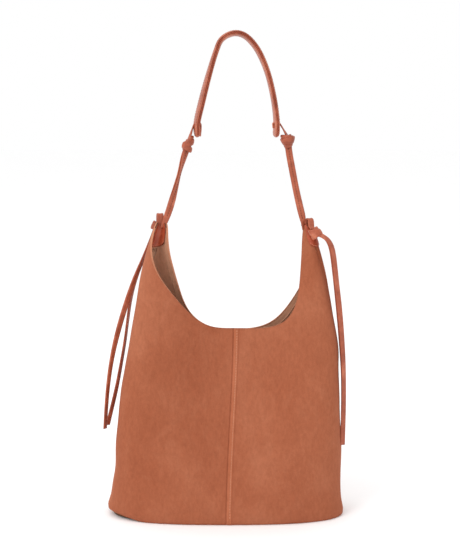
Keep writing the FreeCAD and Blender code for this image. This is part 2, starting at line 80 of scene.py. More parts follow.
BASE_HALF_WIDTH = 158.0
BASE_FLARE = 7.0
FLARE_HEIGHT = 25.0
HORN_HALF_WIDTH = 106.0
BASE_HALF_DEPTH = 65.0
HORN_HALF_DEPTH = 12.0
LEAN = 10.0
LEAN_HEIGHT = 270.0
HORN_HEIGHT = 410.0
MOUTH_HEIGHT = {"front": 262.0, "back": 259.0}
CLOSED_HALF_DEPTH = 7.7
PINCH_START = 10.0
PINCH_FULL = 225.0
TWIST_START = 270.0
TWIST = {"left": -80.0, "right": -60.0}
HORN_CORE = 9.0
TAPER_POWER = 2.2
DEPTH_POWER = 1.3
BASE_SQUARENESS = 2.6
HORN_SQUARENESS = 3.4
HORN_SHARE = {"left": 0.843, "right": 0.93}
TIP_SHARPNESS = 6.0
LEATHER = 1.8
LACE_WIDTH = 9.0
TAIL_WIDTH = 8.0
HOLE_HEIGHT = 403.5
FRONT = -90.0
BACK = 90.0

# Angle of each panel's side seam and centre seam, and the power with which its mouth edge rises.
PANELS = {
    "front_right": (0.0, FRONT, 4.2),
    "front_left": (-180.0, FRONT, 2.9),
    "back_right": (0.0, BACK, 3.15),
    "back_left": (180.0, BACK, 3.05),
}
SIDES = {"left": 180.0, "right": 0.0}

# The free tails, in metres: the same (x, z) as the solids, at each tail's own depth.
TAIL_ROUTES = {
    "left_outer_tail": [
        (-0.1013, 0.3892), (-0.1095, 0.3670), (-0.1250, 0.3320), (-0.1390, 0.2920), (-0.1505, 0.2540),
        (-0.1595, 0.2150), (-0.1650, 0.1770), (-0.1680, 0.1420), (-0.1695, 0.1180)],
    "left_inner_tail": [
        (-0.1010, 0.3890), (-0.1090, 0.3680), (-0.1230, 0.3340), (-0.1325, 0.3020), (-0.1370, 0.2700),
        (-0.1410, 0.2400), (-0.1470, 0.2070), (-0.1530, 0.1760), (-0.1600, 0.1470), (-0.1665, 0.1210)],
    "right_outer_tail": [
        (0.1294, 0.3904), (0.1367, 0.3864), (0.1427, 0.3780), (0.1458, 0.3670), (0.1480, 0.3500),
        (0.1510, 0.3220), (0.1556, 0.2840), (0.1590, 0.2460), (0.1615, 0.2080), (0.1620, 0.1680),
        (0.1615, 0.1300), (0.1607, 0.0990)],
    "right_inner_tail": [
        (0.1292, 0.3900), (0.1354, 0.3856), (0.1401, 0.3774), (0.1430, 0.3660), (0.1453, 0.3500),
        (0.1489, 0.3220), (0.1526, 0.2900), (0.1560, 0.2580), (0.1590, 0.2220), (0.1610, 0.1840),
        (0.1613, 0.1420), (0.1612, 0.1010)],
}


# ------------------------ body surface

def smooth(value):
    value = np.clip(value, 0.0, 1.0)
    return value * value * (3.0 - 2.0 * value)


def half_width(z):
    taper = (BASE_HALF_WIDTH - HORN_HALF_WIDTH) * (np.maximum(z, 0.0) / HORN_HEIGHT) ** TAPER_POWER
    return BASE_HALF_WIDTH - taper + BASE_FLARE * np.exp(-z / FLARE_HEIGHT)


def half_depth(z):
    taper = (BASE_HALF_DEPTH - HORN_HALF_DEPTH) * (np.maximum(z, 0.0) / HORN_HEIGHT) ** DEPTH_POWER
    return BASE_HALF_DEPTH - taper


def squareness(z):
    return BASE_SQUARENESS + (HORN_SQUARENESS - BASE_SQUARENESS) * z / HORN_HEIGHT


def section(angle, z):
    power = squareness(z)
    cosine = np.cos(np.radians(angle))
    sine = np.sin(np.radians(angle))
    radius = (np.abs(cosine) ** power + np.abs(sine) ** power) ** (1.0 / power)
    return cosine / radius, sine / radius


def skin_point(angle, z):
    """Outer surface of the leather before its soft waves, in millimetres."""
    across, deep = section(angle, z)
    pinch = smooth((z - PINCH_START) / (PINCH_FULL - PINCH_START)) * (1.0 - across ** 2) ** 2
    x = half_width(z) * across
    y = deep * (half_depth(z) * (1.0 - pinch) + CLOSED_HALF_DEPTH * pinch)
    sign = np.where(across > 0.0, 1.0, -1.0)
    most = np.where(across > 0.0, TWIST["right"], TWIST["left"])
    turn = np.radians(most) * smooth((z - TWIST_START) / (HORN_HEIGHT - TWIST_START))
    core = sign * (half_width(z) - HORN_CORE)
    arm = x - core
    turned_x = core + arm * np.cos(turn) - y * np.sin(turn)
    turned_y = arm * np.sin(turn) + y * np.cos(turn)
    seam_y = sign * HORN_CORE * np.sin(turn)
    lean = LEAN * smooth(z / LEAN_HEIGHT)
    return np.stack([lean + turned_x, turned_y - seam_y, z + 0.0 * x], axis=-1)


def unit(vectors):
    length = np.linalg.norm(vectors, axis=-1, keepdims=True)
    return vectors / np.maximum(length, 1e-9)


def distance_along(points):
    steps = np.linalg.norm(np.diff(points, axis=0), axis=1)
    return np.concatenate([[0.0], np.cumsum(steps)])


def skin_outward(angle, z):
    """Level direction out of the leather."""
    step = 0.05
    around = skin_point(angle + step, z) - skin_point(angle - step, z)
    up = skin_point(angle, z + step) - skin_point(angle, np.maximum(z - step, 0.0))
    normal = np.cross(around, up)
    normal[..., 2] = 0.0
    return unit(normal)


def mouth_edge(panel, angle):
    """Height of a panel's mouth edge."""
    face, side = panel.split("_")
    across = section(angle, HORN_HEIGHT + 0.0 * angle)[0]
    rise = (np.abs(across) / HORN_SHARE[side]) ** PANELS[panel][2]
    share = rise / (1.0 + rise ** TIP_SHARPNESS) ** (1.0 / TIP_SHARPNESS)
    return MOUTH_HEIGHT[face] + (HORN_HEIGHT - MOUTH_HEIGHT[face]) * share


def angle_at_depth(distance, z):
    """Angle from a side seam at a distance in depth."""
    power = squareness(z)
    share = (half_depth(z) / distance) ** power - 1.0
    return np.degrees(np.arctan((1.0 / share) ** (1.0 / power)))


def angle_at_width(distance, z):
    """Angle from a centre seam at a distance across the bag."""
    return np.degrees(np.arcsin(distance / half_width(z)))


# Where the soft sides belly out or sink in: side, height, spread and amount.
SWELLS = [
    (-1.0, 185.0, 48.0, 4.4), (-1.0, 66.0, 26.0, -2.6), (-1.0, 0.0, 16.0, 2.2),
    (1.0, 240.0, 24.0, 2.2), (1.0, 95.0, 30.0, 1.4),
]
FOOT_LIFT = 7.5          # of the left end of the base off the floor


def settle(points):
    """The way the filled bag settles: its sides belly out and its left foot lifts off the floor."""
    x, z = points[..., 0], points[..., 2]
    moved = points.copy()
    reach = np.abs(x) / BASE_HALF_WIDTH
    for side, height, spread, amount in SWELLS:
        local = amount * np.exp(-((z - height) / spread) ** 2) * np.clip(reach, 0.0, 1.1) ** 3
        moved[..., 0] += side * np.where(x * side > 0.0, local, 0.0)
    moved[..., 2] += FOOT_LIFT * smooth((-x - 106.0) / 52.0) * smooth(1.0 - z / 75.0)
    return moved


BROAD_WAVE = 2.2
FOLD_WAVE = 1.3
SMALL_WAVE = 0.35


def soft_wave(points):
    """Slow in and out of the soft leather, in millimetres, the same on both of its faces."""
    flat = points.reshape(-1, 3)
    values = np.empty(len(flat))
    for i, (x, y, z) in enumerate(flat):
        broad = noise.noise(Vector((x / 95.0, y / 60.0, z / 120.0)))
        fold = noise.noise(Vector((x / 38.0 + z / 240.0, y / 60.0 + 7.0, z / 210.0)))
        small = noise.noise(Vector((x / 17.0, y / 17.0 + 3.0, z / 30.0)))
        values[i] = BROAD_WAVE * broad + FOLD_WAVE * fold + SMALL_WAVE * small
    return values.reshape(points.shape[:-1])


STITCH_OFFSET = 4.6      # of the row of stitches from the centre seam
STITCH_DIP = 0.4
SEAM_RIDGE = 0.8         # height of the turned edge beside a centre seam
SEAM_EDGE = 6.4          # width of that edge
SEAM_CREASE = 1.0
SIDE_CREASE = 0.8
SIDE_SWELL = 0.35
FOOT_ROLL = 9.0          # height over which the wall turns in under its lower edge
FOOT_TURN_IN = 4.2


def seam_relief(angle, z):
    """Raised turned edge beside the centre seams and a crease along every seam, in millimetres."""
    width = half_width(z)
    relief = np.zeros_like(z)
    for middle, turned in ((FRONT, 1.0), (BACK, -1.0)):
        offset = np.radians(angle - middle) * width * turned
        ridge = SEAM_RIDGE * (smooth((offset - 0.2) / 0.8) - smooth((offset - SEAM_EDGE) / 1.4))
        crease = -SEAM_CREASE * np.exp(-((offset + 0.1) / 0.9) ** 2)
        stitch_dip = -STITCH_DIP * np.exp(-((offset - STITCH_OFFSET) / 0.8) ** 2)
        relief += ridge + crease + stitch_dip
    for middle in (0.0, 180.0, -180.0):
        offset = np.radians(angle - middle) * half_depth(z)
        relief += (SIDE_SWELL * np.exp(-((np.abs(offset) - 3.0) / 2.0) ** 2)
                   - SIDE_CREASE * np.exp(-(offset / 1.1) ** 2))
    return relief


def foot_roll(z):
    """How far the wall turns in at a height, in millimetres."""
    below = np.clip(1.0 - z / FOOT_ROLL, 0.0, 1.0)
    return FOOT_TURN_IN * (1.0 - np.sqrt(1.0 - below ** 2))


def layer_points(angle, z, inset, relief=True):
    """Points at a depth under the finished outer surface, in metres."""
    base = skin_point(angle, z)
    outward = skin_outward(angle, z)
    # the waves die away at the floor, at the horns and beside the middle of the mouth
    calm = smooth(z / 30.0) * (1.0 - 0.75 * smooth((z - 330.0) / 60.0))
    calm = calm * (1.0 - 0.7 * smooth((z - 200.0) / 50.0) * (1.0 - section(angle, z)[0] ** 2) ** 6)
    height = soft_wave(base) * calm - foot_roll(z)
    if relief:
        height = height + seam_relief(angle, z)
    return settle(base + outward * (height - inset)[..., None]) * MM


# ------------------------ mesh helpers

def make_object(name, vertices, faces, materials, indices=None, shade=True):
    mesh = bpy.data.meshes.new(name)
    mesh.from_pydata([tuple(v) for v in vertices], [], faces)
    mesh.validate()
    piece = add_object(name, mesh)
    for material in materials:
        mesh.materials.append(material)
    if indices is not None:
        mesh.polygons.foreach_set("material_index", indices)
    if shade:
        mesh.polygons.foreach_set("use_smooth", [True] * len(mesh.polygons))
    mesh.update()
    return piece


EDGE_BULGE = 0.225       # of a rounded cut edge, as a share of the leather's thickness


def sheet_piece(name, outer, inner, materials, strip=()):
    """Closed piece of leather between two grids of points, with softly rounded cut edges.

    materials are the outside, the inside, the cut edge and the strip of columns given by strip.
    """
    rows, columns = outer.shape[:2]
    border = [(i, 0) for i in range(rows)]
    border += [(rows - 1, j) for j in range(1, columns)]
    border += [(i, columns - 1) for i in range(rows - 2, -1, -1)]
    border += [(0, j) for j in range(columns - 2, 0, -1)]
    neighbour = [(min(max(i, 1), rows - 2), min(max(j, 1), columns - 2)) for i, j in border]
    vertices = list(outer.reshape(-1, 3)) + list(inner.reshape(-1, 3))
    count = rows * columns
    faces = []
    indices = []
    for i in range(rows - 1):
        for j in range(columns - 1):
            a = i * columns + j
            quad = (a, a + columns, a + columns + 1, a + 1)
            faces.append(quad)
            indices.append(3 if i in strip else 0)
            faces.append(tuple(v + count for v in reversed(quad)))
            indices.append(1)
    rings = [[i * columns + j for i, j in border]]
    thickness = np.linalg.norm(outer[0, 0] - inner[0, 0])
    for share in (0.25, 0.75):
        ring = []
        for (i, j), (ni, nj) in zip(border, neighbour):
            middle = outer[i, j] * (1.0 - share) + inner[i, j] * share
            inside = outer[ni, nj] * (1.0 - share) + inner[ni, nj] * share
            ring.append(len(vertices))
            vertices.append(middle + unit(middle - inside) * thickness * EDGE_BULGE)
        rings.append(ring)
    rings.append([count + i * columns + j for i, j in border])
    total = len(border)
    for upper, lower in zip(rings, rings[1:]):
        for k in range(total):
            n = (k + 1) % total
            faces.append((upper[k], upper[n], lower[n], lower[k]))
            indices.append(2 if len(materials) > 2 else 0)
    return make_object(name, vertices, faces, materials, indices)


def leather_sheet(name, angles, z_grid, insets, materials, relief=False, strip=()):
    """Sheet between two depths under the outer surface; its columns run either way round the bag."""
    if angles.ndim == 1:
        angles = np.repeat(angles[:, None], z_grid.shape[1], axis=1)
    outer = layer_points(angles, z_grid, insets[0], relief)
    inner = layer_points(angles, z_grid, insets[1], relief=False)
    if angles[-1, 0] < angles[0, 0]:
        outer, inner = outer[::-1], inner[::-1]
        strip = [len(angles) - 2 - i for i in strip]
    return sheet_piece(name, outer, inner, materials, strip)


def tube_faces(rings, around, first=0):
    """Faces of a tube of rings of points, with its two ends."""
    faces = []
    for low in range(first, first + (rings - 1) * around, around):
        for a in range(around):
            n = (a + 1) % around
            faces.append((low + a, low + n, low + around + n, low + around + a))
    last = first + (rings - 1) * around
    faces.append(tuple(reversed(range(first, first + around))))
    faces.append(tuple(range(last, last + around)))
    return faces


def ribbon_piece(name, points, sides, width, thickness, material, crown=0.15, groove=0.0, swell=0.0,
                 rounded_ends=False):
    """Flat strap along points; sides is the direction of its width, for all points or for each. Metres.

    As shares of the thickness, crown bows the strap, swell fills its middle, groove presses a line in.
    """
    points = np.asarray(points, dtype=float)
    sides = unit(np.broadcast_to(np.asarray(sides, dtype=float), points.shape))
    tangents = unit(np.gradient(points, axis=0))
    sides = unit(sides - tangents * np.sum(sides * tangents, axis=-1, keepdims=True))
    normals = np.cross(tangents, sides)
    across = 11
    profile = []
    for k in range(across):
        u = -1.0 + 2.0 * k / (across - 1)
        edge = math.sqrt(max(0.0, 1.0 - max(0.0, (abs(u) - 0.84) / 0.16) ** 2))
        half = 0.5 * (0.35 + 0.65 * edge) + swell * (1.0 - u * u) - groove * math.exp(-(u / 0.16) ** 2)
        profile.append((u, half, crown * (1.0 - u * u)))
    section_points = [(u, bow + half) for u, half, bow in profile]
    section_points += [(u, bow - half) for u, half, bow in reversed(profile)]
    travelled = distance_along(points)
    total = travelled[-1]
    widths = np.broadcast_to(np.asarray(width, dtype=float), (len(points),))
    heights = np.broadcast_to(np.asarray(thickness, dtype=float), (len(points),))
    end_length = 0.32 * widths.max()
    vertices = []
    for p, s, n, d, width_here, height_here in zip(points, sides, normals, travelled, widths, heights):
        narrow = 1.0
        if rounded_ends:
            near = min(d, total - d) / end_length
            narrow = math.sqrt(max(0.06, 1.0 - max(0.0, 1.0 - near) ** 2))
        for u, h in section_points:
            vertices.append(p + s * (u * narrow * width_here / 2.0) + n * (h * height_here))
    return make_object(name, vertices, tube_faces(len(points), len(section_points)), [material])


def points_at(line, distances, at):
    return np.stack([np.interp(at, distances, line[:, axis]) for axis in range(3)], axis=-1)


def smooth_path(controls, count):
    """Even samples of a smooth curve through given points, in metres."""
    controls = [Vector(c) for c in controls]
    dense = []
    for i in range(len(controls) - 1):
        before = controls[max(i - 1, 0)]
        after = controls[min(i + 2, len(controls) - 1)]
        a, b = controls[i], controls[i + 1]
        for k in range(24):
            f = k / 24.0
            dense.append(0.5 * ((2.0 * a) + (b - before) * f
                                + (2.0 * before - 5.0 * a + 4.0 * b - after) * f * f
                                + (3.0 * a - before - 3.0 * b + after) * f ** 3))
    dense.append(controls[-1])
    array = np.array([tuple(v) for v in dense])
    lengths = distance_along(array)
    return points_at(array, lengths, np.linspace(0.0, lengths[-1], count))


DEPTH = np.array([0.0, 1.0, 0.0])
UP = np.array([0.0, 0.0, 1.0])


def turned_sides(points, turn):
    """Direction of a strap's width, turned about its length from the direction of depth; radians."""
    level = np.cross(unit(np.gradient(points, axis=0)), DEPTH)
    return np.cos(turn)[:, None] * DEPTH + np.sin(turn)[:, None] * level


def stitch_piece(name, points, outwards, length, gap, radius, material, lift=0.15):
    """Row of separate stitches along a line on a surface. All in metres."""
    points = np.asarray(points, dtype=float)
    outwards = unit(np.asarray(outwards, dtype=float))
    distances = distance_along(points)
    vertices = []
    faces = []
    rings = 6
    around = 6
    for start in np.arange(gap, distances[-1] - length, length + gap):
        faces += tube_faces(rings, around, len(vertices))
        for r in range(rings):
            f = r / (rings - 1.0)
            at = start + length * f
            centre = points_at(points, distances, at)
            up = unit(points_at(outwards, distances, at))
            ahead = points_at(points, distances, min(at + length * 0.5, distances[-1]))
            side = unit(np.cross(unit(ahead - centre + 1e-12), up))
            swell = math.sin(math.pi * (0.08 + 0.84 * f)) ** 0.5
            sink = (lift - 1.1 * (2.0 * f - 1.0) ** 4) * radius
            for a in range(around):
                turn = 2.0 * math.pi * a / around
                raised = centre + up * (sink + math.sin(turn) * radius * swell)
                vertices.append(raised + side * math.cos(turn) * radius * swell)
    return make_object(name, vertices, faces, [material])


def finish_piece(piece, body, slot, *nodes):
    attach(piece, body)
    if nodes:
        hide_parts(*nodes)
    return piece


# ------------------------ materials

class Nodes:
    """Small helper that builds one material's node tree."""

    def __init__(self, name):
        self.material = bpy.data.materials.new(name)
        self.material.use_nodes = True
        self.tree = self.material.node_tree
        self.shader = self.tree.nodes["Principled BSDF"]
        self.coordinates = self.tree.nodes.new("ShaderNodeTexCoord").outputs["Object"]

    def node(self, kind, **inputs):
        made = self.tree.nodes.new(kind)
        for key, value in inputs.items():
            self.put(made.inputs[key], value)
        return made

    def put(self, socket, value):
        if isinstance(value, bpy.types.NodeSocket):
            self.tree.links.new(value, socket)
        else:
            socket.default_value = value

    def noise(self, scale, detail=3.0, roughness=0.55, stretch=None, distortion=0.0):
        vector = self.coordinates
        if stretch is not None:
            vector = self.node("ShaderNodeMapping", Vector=vector, Scale=stretch).outputs["Vector"]
        made = self.node("ShaderNodeTexNoise", Vector=vector, Scale=scale, Detail=detail, Roughness=roughness,
                         Distortion=distortion)
        return made.outputs["Fac"]

    def grain(self, scale):
        made = self.node("ShaderNodeTexVoronoi", Vector=self.coordinates, Scale=scale)
        made.feature = "SMOOTH_F1"
        return made.outputs["Distance"]

    def ramp(self, factor, *stops):
        made = self.node("ShaderNodeValToRGB", Fac=factor)
        elements = made.color_ramp.elements
        while len(elements) < len(stops):
            elements.new(0.5)
        for element, (position, color) in zip(elements, stops):
            element.position = position
            element.color = (*color, 1.0)
        return made.outputs["Color"]

    def mix(self, factor, first, second, blend="MIX"):
        made = self.tree.nodes.new("ShaderNodeMix")
        made.data_type = "RGBA"
        made.blend_type = blend
        self.put(made.inputs[0], factor)
        for socket, value in ((made.inputs[6], first), (made.inputs[7], second)):
            self.put(socket, value if isinstance(value, bpy.types.NodeSocket) else (*value, 1.0))
        return made.outputs[2]

    def math(self, operation, *values):
        made = self.node("ShaderNodeMath")
        made.operation = operation
        for socket, value in zip(made.inputs, values):
            self.put(socket, value)
        return made.outputs[0]

    def add(self, first, second, first_weight, second_weight):
        return self.math("MULTIPLY_ADD", second, second_weight, self.math("MULTIPLY", first, first_weight))

    def between(self, value, low, high):
        made = self.node("ShaderNodeMapRange", Value=value)
        made.inputs["To Min"].default_value = low
        made.inputs["To Max"].default_value = high
        return made.outputs["Result"]

    def surface(self, values):
        for key, value in values.items():
            self.put(self.shader.inputs[key], value)

    def bump(self, height, strength, distance):
        made = self.node("ShaderNodeBump", Height=height, Strength=strength, Distance=distance)
        self.put(self.shader.inputs["Normal"], made.outputs["Normal"])


def linear(color):
    """An sRGB colour, 0 to 255, as linear values."""
    values = []
    for channel in color:
        share = channel / 255.0
        values.append(share / 12.92 if share <= 0.04045 else ((share + 0.055) / 1.055) ** 2.4)
    return tuple(values)


def darker(color, share):
    return tuple(share * channel for channel in color)


def suede_material(name, *colors, nap=1.0):
    """Napped leather: cloudy brushed blotches, fine fibres and a soft sheen."""
    make = Nodes(name)
    dark, middle, light = map(linear, colors)
    clouds = make.noise(6.0, 3.0, 0.5, stretch=(1.0, 1.0, 0.8), distortion=0.6)
    brushed = make.noise(30.0, 5.0, 0.62, stretch=(1.0, 1.0, 0.6), distortion=1.6)
    fibres = make.noise(900.0, 3.0, 0.7)
    pile = make.noise(260.0, 3.0, 0.65, stretch=(1.0, 1.0, 0.55))
    base = make.ramp(clouds, (0.32, dark), (0.50, middle), (0.70, light))
    strokes = make.ramp(brushed, (0.28, dark), (0.52, middle), (0.76, light))
    color = make.mix(0.34, base, strokes)
    shade = make.ramp(pile, (0.30, (0.80, 0.79, 0.78)), (0.65, (1.06, 1.06, 1.06)))
    color = make.mix(0.55 * nap, color, shade, "MULTIPLY")
    speck = make.ramp(fibres, (0.30, (0.84, 0.83, 0.82)), (0.70, (1.08, 1.08, 1.08)))
    color = make.mix(0.5 * nap, color, speck, "MULTIPLY")
    make.surface({"Base Color": color, "Roughness": 0.95, "Specular IOR Level": 0.18, "Sheen Weight": 0.22,
                  "Sheen Roughness": 0.45, "Sheen Tint": (*light, 1.0)})
    make.bump(make.add(pile, fibres, 0.8, 0.5), 0.28, 0.0006)
    return make.material


def smooth_leather_material(name, *colors, gloss=0.42):
    """Grained leather: fine pores, a little pull-up in the colour and a low shine."""
    make = Nodes(name)
    dark, middle, light = map(linear, colors)
    clouds = make.noise(40.0, 5.0, 0.6, distortion=0.5)
    pores = make.grain(1500.0)
    creases = make.noise(330.0, 4.0, 0.65, stretch=(1.0, 1.0, 0.5))
    color = make.ramp(clouds, (0.28, dark), (0.52, middle), (0.76, light))
    worn = make.ramp(creases, (0.34, (0.80, 0.77, 0.75)), (0.66, (1.10, 1.10, 1.10)))
    color = make.mix(0.6, color, worn, "MULTIPLY")
    make.surface({"Base Color": color, "Roughness": make.between(creases, gloss - 0.08, gloss + 0.16),
                  "Specular IOR Level": 0.42})
    make.bump(make.add(pores, creases, 0.5, 0.9), 0.3, 0.0004)
    return make.material


def thread_material(name, color):
    make = Nodes(name)
    color = linear(color)
    strand = make.noise(1800.0, 2.0, 0.6)
    shade = make.ramp(strand, (0.3, darker(color, 0.72)), (0.7, color))
    make.surface({"Base Color": shade, "Roughness": 0.6})
    make.bump(strand, 0.3, 0.0002)
    return make.material


def tape_material(name, color):
    """Woven tape: two crossed waves."""
    make = Nodes(name)
    color = linear(color)
    waves = []
    for direction in ("X", "Z"):
        made = make.node("ShaderNodeTexWave", Vector=make.coordinates, Scale=420.0, Distortion=1.5)
        made.bands_direction = direction
        waves.append(made.outputs["Fac"])
    weave = make.add(waves[0], waves[1], 0.5, 0.5)
    shade = make.ramp(weave, (0.2, darker(color, 0.65)), (0.8, color))
    make.surface({"Base Color": shade, "Roughness": 0.85})
    make.bump(weave, 0.4, 0.0003)
    return make.material


def metal_material(name, color):
    make = Nodes(name)
    color = linear(color)
    brushed = make.noise(700.0, 3.0, 0.6)
    shade = make.ramp(brushed, (0.3, darker(color, 0.8)), (0.7, color))
    make.surface({"Base Color": shade, "Metallic": 1.0, "Roughness": make.between(brushed, 0.26, 0.44)})
    make.bump(brushed, 0.1, 0.0001)
    return make.material


SUEDE = suede_material("suede", (150, 81, 54), (162, 93, 65), (178, 111, 82))
SUEDE_EDGE = suede_material("suede_turned_edge", (160, 90, 60), (174, 102, 72), (188, 118, 88))
FLESH = suede_material("flesh_side", (166, 118, 92), (188, 138, 110), (206, 156, 128), nap=1.2)
CUT_EDGE = suede_material("cut_edge", (172, 108, 78), (190, 126, 96), (204, 142, 112), nap=0.8)
LACE = smooth_leather_material("lace_leather", (136, 62, 38), (168, 85, 57), (198, 116, 86))
BAND = smooth_leather_material("band_leather", (142, 70, 46), (170, 92, 66), (196, 120, 92), gloss=0.38)
PATCH = smooth_leather_material("patch_leather", (140, 56, 30), (172, 76, 46), (194, 100, 70), gloss=0.36)
LACE_FLESH = suede_material("lace_flesh", (122, 74, 54), (144, 94, 72), (166, 116, 92), nap=0.9)
EDGE_PAINT = smooth_leather_material("edge_paint", (98, 46, 30), (124, 62, 42), (146, 84, 62), gloss=0.5)
THREAD = thread_material("thread", (216, 152, 120))
LACE_THREAD = thread_material("lace_thread", (118, 54, 36))
TAPE = tape_material("seam_tape", (206, 160, 130))
BAND_CORE = smooth_leather_material("band_core", (136, 58, 36), (164, 76, 50), (184, 98, 70), gloss=0.5)
BOARD = suede_material("base_board", (84, 60, 44), (98, 72, 54), (112, 86, 66), nap=0.6)
METAL = metal_material("snap_metal", (214, 178, 120))


# ------------------------ bag

TURNED_STRIP = 6.2       # width of the lighter strip beside the centre seams
FACING_WIDTH = 8.0
TAPE_HALF_WIDTH = 7.0
TAB_HALF_WIDTH = 13.0
LAYER_COLUMNS = 13


def make_panels():
    for panel, (side_angle, centre_angle, _power) in PANELS.items():
        # more columns near the seams, where the turned edges and creases need them
        shares = np.unique(np.concatenate([np.linspace(0.0, 1.0, 84), np.linspace(0.955, 1.0, 30),
                                           np.linspace(0.0, 0.08, 10)]))
        angles = side_angle + (centre_angle - side_angle) * shares
        heights = np.concatenate([[0.0, 0.004, 0.010, 0.018], np.linspace(0.028, 0.985, 112), [0.994, 1.0]])
        offsets = np.radians(np.abs(angles - centre_angle)) * BASE_HALF_WIDTH
        strip = [i for i in range(len(angles) - 1)
                 if panel.endswith("right") and max(offsets[i], offsets[i + 1]) < TURNED_STRIP]
        piece = leather_sheet("suede_" + panel, angles, mouth_edge(panel, angles)[:, None] * heights,
                              (0.0, LEATHER), [SUEDE, FLESH, CUT_EDGE, SUEDE_EDGE], relief=True, strip=strip)
        finish_piece(piece, "bag", "suede", panel + "_panel")


def make_facings():
    inset = LEATHER + 0.1
    for panel, (side_angle, centre_angle, _power) in PANELS.items():
        angles = side_angle + (centre_angle - side_angle) * np.linspace(0.44, 0.992, 90)
        top = mouth_edge(panel, angles) - 0.5
        run = np.linalg.norm(np.diff(skin_point(angles, top)[:, :2], axis=0, append=np.nan), axis=1)
        rise = np.nan_to_num(np.gradient(top) / np.maximum(run, 0.2))
        drop = FACING_WIDTH * np.minimum(np.sqrt(1.0 + rise ** 2), 3.0)
        z_grid = top[:, None] - drop[:, None] * (1.0 - np.linspace(0.0, 1.0, 7))
        piece = leather_sheet("facing_" + panel, angles, z_grid, (inset, inset + 0.9),
                              [FLESH, FLESH, CUT_EDGE])
        finish_piece(piece, "bag", "suede", panel + "_facing")


def place_layer(name, middle, low, high, half_angle, insets, materials, rows=60):
    """Strip of a layer along a seam: half_angle(z) gives half its width at each height."""
    z = np.linspace(low, high, rows)
    angles = middle + np.linspace(-1.0, 1.0, LAYER_COLUMNS)[:, None] * half_angle(z)
    return leather_sheet(name, angles, np.repeat(z[None, :], LAYER_COLUMNS, axis=0), insets, materials)


def make_seam_tapes():
    tapes = {
        "front": (FRONT, 227.0, angle_at_width), "back": (BACK, 227.0, angle_at_width),
        "left": (180.0, 371.0, angle_at_depth), "right": (0.0, 371.0, angle_at_depth),
    }
    for name, (middle, top, spread) in tapes.items():
        piece = place_layer("tape_" + name, middle, 6.0, top, lambda z: spread(TAPE_HALF_WIDTH, z),
                            (LEATHER + 0.1, LEATHER + 0.8), [TAPE, TAPE])
        finish_piece(piece, "bag", "tape", name + "_seam_tape")


PATCH_FOOT = 374.0
PATCH_LEVEL = 392.0      # height at which a patch's half width is measured
PATCH_HALVES = {
    ("left", "outer"): 9.3, ("left", "inner"): 21.0,
    ("right", "outer"): 7.6, ("right", "inner"): 12.0,
}
# Depths of a patch's two faces and of its stitches under the outer surface, and the way its stitches face.
PATCH_LAYERS = {
    "outer": (-1.5, -0.1, -1.55, 1.0),
    "inner": (LEATHER + 1.05, LEATHER + 2.2, LEATHER + 2.25, -1.0),
}
STITCH_MARGIN = 1.6


def angle_along(distance, z):
    """Angle from a side seam at a distance along the leather, in millimetres."""
    angles = np.linspace(0.0, 60.0, 600)
    line = skin_point(angles, np.full_like(angles, z))
    return np.sign(distance) * np.interp(np.abs(distance), distance_along(line), angles)


def patch_columns(side, half, columns):
    """Angle, lowest and highest height of each column of a patch with a rounded foot."""
    share = np.sin(np.linspace(-0.5 * math.pi, 0.5 * math.pi, columns))
    angles = SIDES[side] + angle_along(share * half, PATCH_LEVEL) * (1.0 if side == "right" else -1.0)
    faces = np.where(share < 0.0, 0, 1)
    tops = np.stack([mouth_edge("front_" + side, angles), mouth_edge("back_" + side, angles)])
    top = tops[faces, np.arange(columns)] - 0.4
    low = PATCH_FOOT + 0.85 * min(half, 13.0) * (1.0 - np.sqrt(1.0 - share ** 2))
    return angles, low, np.maximum(top, low + 2.0)


def make_horn_patches():
    """Smooth leather on both faces of each horn, stitched along its rounded foot."""
    for (side, layer), half in PATCH_HALVES.items():
        upper, lower, stitch_depth, facing = PATCH_LAYERS[layer]
        angles, low, high = patch_columns(side, half, 41)
        z_grid = low[:, None] + (high - low)[:, None] * np.linspace(0.0, 1.0, 30)
        piece = leather_sheet("patch_%s_%s" % (side, layer), angles, z_grid, (upper, lower),
                              [PATCH, PATCH, EDGE_PAINT])
        finish_piece(piece, "bag", "smooth_leather", "%s_horn_patch_%s" % (side, layer))
        angles, low, _high = patch_columns(side, half - STITCH_MARGIN, 81)
        points = layer_points(angles, low + STITCH_MARGIN, stitch_depth, relief=False)
        outwards = skin_outward(angles, low + STITCH_MARGIN) * facing
        piece = stitch_piece("patch_stitches_%s_%s" % (side, layer), points, outwards, 0.0020, 0.0008, 0.0003,
                             THREAD)
        finish_piece(piece, "bag", "smooth_leather")


def make_closure_tabs():
    for face, middle in (("front", FRONT), ("back", BACK)):
        piece = place_layer("tab_" + face, middle, 229.0, 251.0, lambda z: angle_at_width(TAB_HALF_WIDTH, z),
                            (LEATHER + 1.3, LEATHER + 2.7), [LACE, LACE, LACE_FLESH], 13)
        finish_piece(piece, "bag", "smooth_leather", face + "_closure_tab")


def make_centre_stitches():
    """Lockstitch beside each centre seam, on the side to which the seam is turned."""
    for face, middle, turned in (("front", FRONT, 1.0), ("back", BACK, -1.0)):
        z = np.linspace(9.0, MOUTH_HEIGHT[face] - 2.0, 240)
        angle = middle + turned * np.degrees(STITCH_OFFSET / half_width(z))
        piece = stitch_piece("stitches_" + face, layer_points(angle, z, 0.0), skin_outward(angle, z),
                             0.0027, 0.0010, 0.00050, THREAD)
        finish_piece(piece, "bag", "suede")


